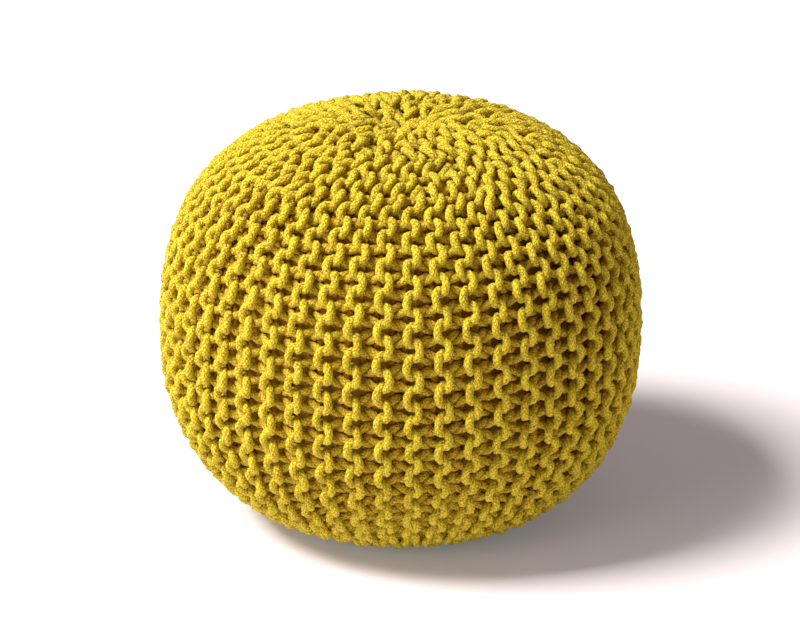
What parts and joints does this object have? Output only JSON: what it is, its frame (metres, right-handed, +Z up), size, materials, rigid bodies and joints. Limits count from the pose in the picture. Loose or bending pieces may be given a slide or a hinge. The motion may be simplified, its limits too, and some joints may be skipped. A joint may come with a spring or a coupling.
{
  "type": "round knitted pouf",
  "caption": "Round knitted floor pouf, a filled cushion in a chunky garter-stitch cotton cord cover with ribs drawn together at the crown and a flat underside.",
  "frame": {"origin": "on the floor, under the middle of the pouf", "axes": "+Z up through the crown, -Y towards the viewer in the picture, +X to the viewer's right"},
  "size_m": [0.5, 0.4988, 0.4215],
  "materials": {
    "cotton_cord": "matt mustard-yellow cotton cord, knitted"
  },
  "bodies": {
    "root": {"knitted_pouf": "cotton_cord"}
  },
  "joints": []
}
